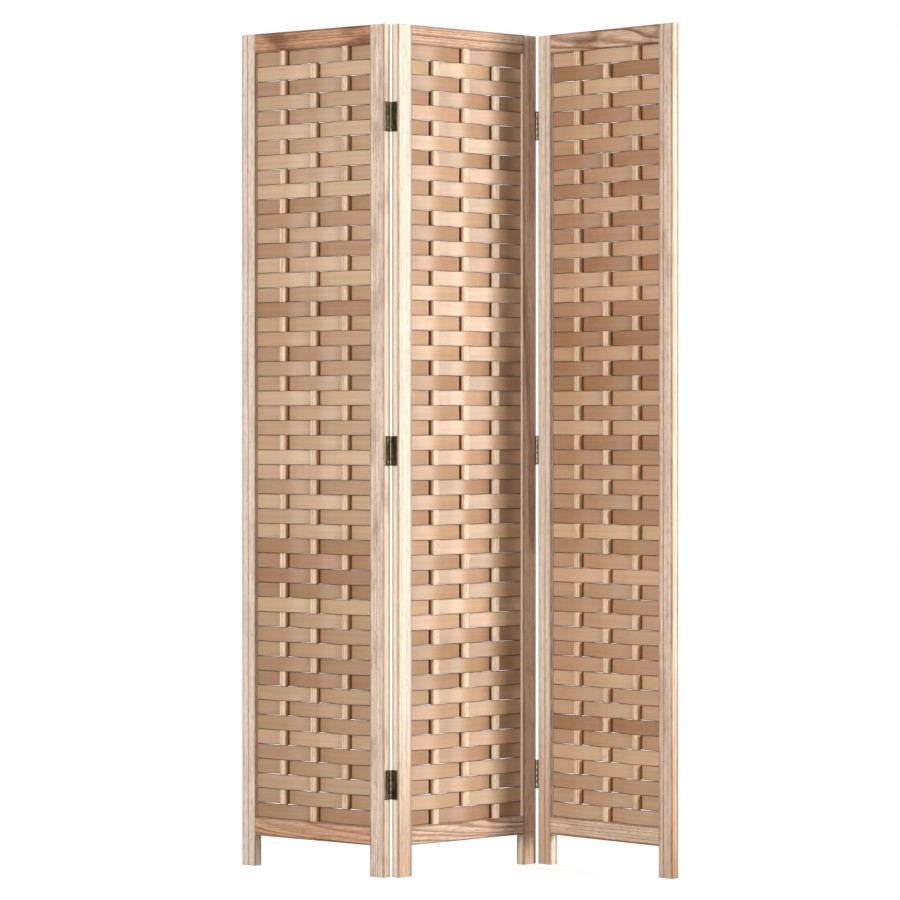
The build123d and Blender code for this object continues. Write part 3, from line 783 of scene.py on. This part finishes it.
# Hinge screws: countersunk wood screws with a cross recess, three to a leaf, driven flush into the stiles'
# narrow faces and left at whatever turn they stopped.
SHANK_RADIUS = 1.4 * MM
TIP_RADIUS = 0.3 * MM
SCREW_LENGTH = 16 * MM
RECESS_SPAN = 1.15
RECESS_WIDTH = 0.3
screw_tree, size = new_tree("hinge screws", {
    "Hinges": "Int", "Hinge spacing": "Float", "First hinge": "Float", "Screws": "Int", "Pitch": "Float",
    "Head radius": "Float", "Head depth": "Float", "Shank radius": "Float", "Tip radius": "Float",
    "Length": "Float", "Seed": "Int"})
head = add_node(screw_tree, "GeometryNodeMeshCone", {
    "Vertices": 20, "Radius Bottom": size["Head radius"], "Radius Top": size["Shank radius"],
    "Depth": size["Head depth"]}).outputs["Mesh"]
wing = add_node(screw_tree, "ShaderNodeMath", {0: size["Head radius"], 1: RECESS_SPAN}, operation="MULTIPLY")
slot = add_node(screw_tree, "ShaderNodeMath", {0: size["Head radius"], 1: RECESS_WIDTH},
                operation="MULTIPLY")
for x, y in ((wing, slot), (slot, wing)):
    blade = add_node(screw_tree, "ShaderNodeCombineXYZ", {0: x, 1: y, 2: size["Head depth"]})
    blade = add_node(screw_tree, "GeometryNodeMeshCube", {"Size": blade}).outputs["Mesh"]
    head = add_node(screw_tree, "GeometryNodeMeshBoolean", {0: head, 1: blade}, operation="DIFFERENCE")
    head = head.outputs["Mesh"]
shank_length = add_node(screw_tree, "ShaderNodeMath", {0: size["Length"], 1: size["Head depth"]},
                        operation="SUBTRACT")
shank = add_node(screw_tree, "GeometryNodeMeshCone", {
    "Vertices": 12, "Radius Bottom": size["Shank radius"], "Radius Top": size["Tip radius"],
    "Depth": shank_length})
below = add_node(screw_tree, "ShaderNodeCombineXYZ", {"Z": size["Head depth"]})
shank = add_node(screw_tree, "GeometryNodeTransform",
                 {"Geometry": shank.outputs["Mesh"], "Translation": below})
screw = add_node(screw_tree, "GeometryNodeJoinGeometry", {0: head})
screw_tree.links.new(shank.outputs[0], screw.inputs[0])
half_column = add_node(screw_tree, "ShaderNodeMath", {0: size["Screws"], 1: -1.0}, operation="ADD")
half_column = add_node(screw_tree, "ShaderNodeMath", {0: half_column, 1: -0.5}, operation="MULTIPLY")
half_column = add_node(screw_tree, "ShaderNodeMath", {0: half_column, 1: size["Pitch"]},
                       operation="MULTIPLY")
start = add_node(screw_tree, "ShaderNodeCombineXYZ", {"Z": half_column})
step = add_node(screw_tree, "ShaderNodeCombineXYZ", {"Z": size["Pitch"]})
column = add_node(screw_tree, "GeometryNodeMeshLine",
                  {"Count": size["Screws"], "Start Location": start, "Offset": step})
start = add_node(screw_tree, "ShaderNodeCombineXYZ", {"Z": size["First hinge"]})
step = add_node(screw_tree, "ShaderNodeCombineXYZ", {"Z": size["Hinge spacing"]})
hinges = add_node(screw_tree, "GeometryNodeMeshLine",
                  {"Count": size["Hinges"], "Start Location": start, "Offset": step})
columns = add_node(screw_tree, "GeometryNodeInstanceOnPoints", {"Points": hinges, "Instance": column})
points = add_node(screw_tree, "GeometryNodeRealizeInstances", {0: columns})
stop = add_node(screw_tree, "FunctionNodeRandomValue", {2: 0.0, 3: pi / 2, "Seed": size["Seed"]})
stop = add_node(screw_tree, "ShaderNodeCombineXYZ", {"Z": stop.outputs[1]})
driven = add_node(screw_tree, "FunctionNodeRotateEuler", {"Rotation": stop, "Rotate By": (0, pi / 2, 0)})
screws = add_node(screw_tree, "GeometryNodeInstanceOnPoints",
                  {"Points": points, "Instance": screw, "Rotation": driven})
finish_tree(screw_tree, screws, bronze)
for seed, ((fold, side), (place, flip)) in enumerate(hinge_turns.items()):
    heights = list(HINGE_LEVELS.values())
    mesh = grow(screw_tree, hinges=len(heights), hinge_spacing=heights[1] - heights[0],
                first_hinge=heights[0], screws=SCREW_COUNT, pitch=SCREW_PITCH,
                head_radius=SCREW_HEAD_RADIUS, head_depth=LEAF_THICKNESS,
                shank_radius=SHANK_RADIUS, tip_radius=TIP_RADIUS, length=SCREW_LENGTH, seed=seed)
    middle = Matrix.Translation((0, 0, PANEL_HEIGHT / 2))
    inset = Matrix.Translation((leaf_face, screw_column, 0))
    mesh.transform(place @ middle @ flip @ middle.inverted() @ inset)
    panel = leaf_seats[fold, side][0]
    node = f"{fold}_hinges_{side}_screws"
    seat_piece(node + "_heads", mesh, panel + "_panel", "antique_bronze", node)

# Studio: a wide pale floor under a white sky, a tall softbox on each side, the right one facing the
# middle panel and the left one facing the outer two, and the camera where the photograph was taken from.
HALF_FLOOR = 20.0
FLOOR_LIFT = 0.72
floor_mesh = bpy.data.meshes.new("floor")
corners = [(x * HALF_FLOOR, y * HALF_FLOOR, 0) for x, y in ((-1, -1), (1, -1), (1, 1), (-1, 1))]
floor_mesh.from_pydata(corners, [], [(0, 1, 2, 3)])
floor = bpy.data.objects.new("floor", floor_mesh)
bpy.context.scene.collection.objects.link(floor)
floor_paint = new_material("pale_floor_paint")
tree = floor_paint.node_tree
seen = add_node(tree, "ShaderNodeLightPath").outputs["Is Camera Ray"]
lift = add_node(tree, "ShaderNodeMath", {0: seen, 1: FLOOR_LIFT}, operation="MULTIPLY")
shader = add_node(tree, "ShaderNodeBsdfPrincipled", {"Base Color": linear("#a0a0a0"), "Roughness": 0.9,
                                                     "Emission Color": linear("#ffffff"),
                                                     "Emission Strength": lift})
add_node(tree, "ShaderNodeOutputMaterial", {"Surface": shader})
floor_mesh.materials.append(floor_paint)

# The sky shows as plain white. As light it is white behind and overhead, and dim in front apart from a soft
# glow beside the camera.
GLOW_HEIGHT = radians(20)
glow_aim = (0, -cos(GLOW_HEIGHT), sin(GLOW_HEIGHT))
sky = bpy.data.worlds.new("studio_sky")
sky.use_nodes = True
tree = sky.node_tree
tree.nodes.clear()
toward = add_node(tree, "ShaderNodeTexCoord").outputs["Object"]
toward = add_node(tree, "ShaderNodeVectorMath", {0: toward}, operation="NORMALIZE")
side = add_node(tree, "ShaderNodeSeparateXYZ", {0: toward}).outputs
rear = add_node(tree, "ShaderNodeMapRange", {0: side[1], 1: -0.2, 2: 0.5, 3: 0.04, 4: 1.1})
overhead = add_node(tree, "ShaderNodeMapRange", {0: side[2], 1: 0.5, 2: 0.9, 4: 0.4},
                    interpolation_type="SMOOTHSTEP")
front = add_node(tree, "ShaderNodeVectorMath", {0: toward, 1: glow_aim},
                 operation="DOT_PRODUCT").outputs["Value"]
front = add_node(tree, "ShaderNodeMapRange", {0: front, 1: 0.9, 2: 1.0, 4: 1.0},
                 interpolation_type="SMOOTHSTEP")
light = add_node(tree, "ShaderNodeMath", {0: rear, 1: overhead}, operation="ADD")
light = add_node(tree, "ShaderNodeMath", {0: light, 1: front}, operation="ADD")
seen = add_node(tree, "ShaderNodeLightPath").outputs["Is Camera Ray"]
light = add_node(tree, "ShaderNodeMix", {0: seen, 2: light, 3: 1.0})
glow = add_node(tree, "ShaderNodeBackground", {"Color": linear("#ffffff"), "Strength": light})
add_node(tree, "ShaderNodeOutputWorld", {"Surface": glow})
bpy.context.scene.world = sky

LAMP_DISTANCE = 6.0
LAMP_HEIGHT = 1.3
LAMP_LENGTH = 2.4
lamp_aim = Vector((0, 0, 0.95))
for name, bearing, energy, width in (("right_softbox", radians(-29.5), 372, 1.0),
                                     ("left_softbox", radians(-131), 250, 0.6)):
    lamp_data = bpy.data.lights.new(name, "AREA")
    lamp_data.shape = "RECTANGLE"
    lamp_data.size = width
    lamp_data.size_y = LAMP_LENGTH
    lamp_data.energy = energy
    lamp_data.color = linear("#fffcf8")[:3]
    lamp = bpy.data.objects.new(name, lamp_data)
    bpy.context.scene.collection.objects.link(lamp)
    lamp.location = (LAMP_DISTANCE * cos(bearing), LAMP_DISTANCE * sin(bearing), LAMP_HEIGHT)
    lamp.rotation_euler = (lamp.location - lamp_aim).to_track_quat("Z", "Y").to_euler()
    lamp.visible_camera = False

LENS_MM = 156.23
SENSOR_MM = 36
CAMERA_DIP = 0.3765
camera_data = bpy.data.cameras.new("camera")
camera_data.lens = LENS_MM
camera_data.sensor_width = SENSOR_MM
camera = bpy.data.objects.new("camera", camera_data)
bpy.context.scene.collection.objects.link(camera)
camera.location = (-0.01456, -8.35995, 0.95617)
camera.rotation_euler = (radians(90 - CAMERA_DIP), 0, 0)
bpy.context.scene.camera = camera
bpy.context.scene.view_settings.view_transform = "Standard"
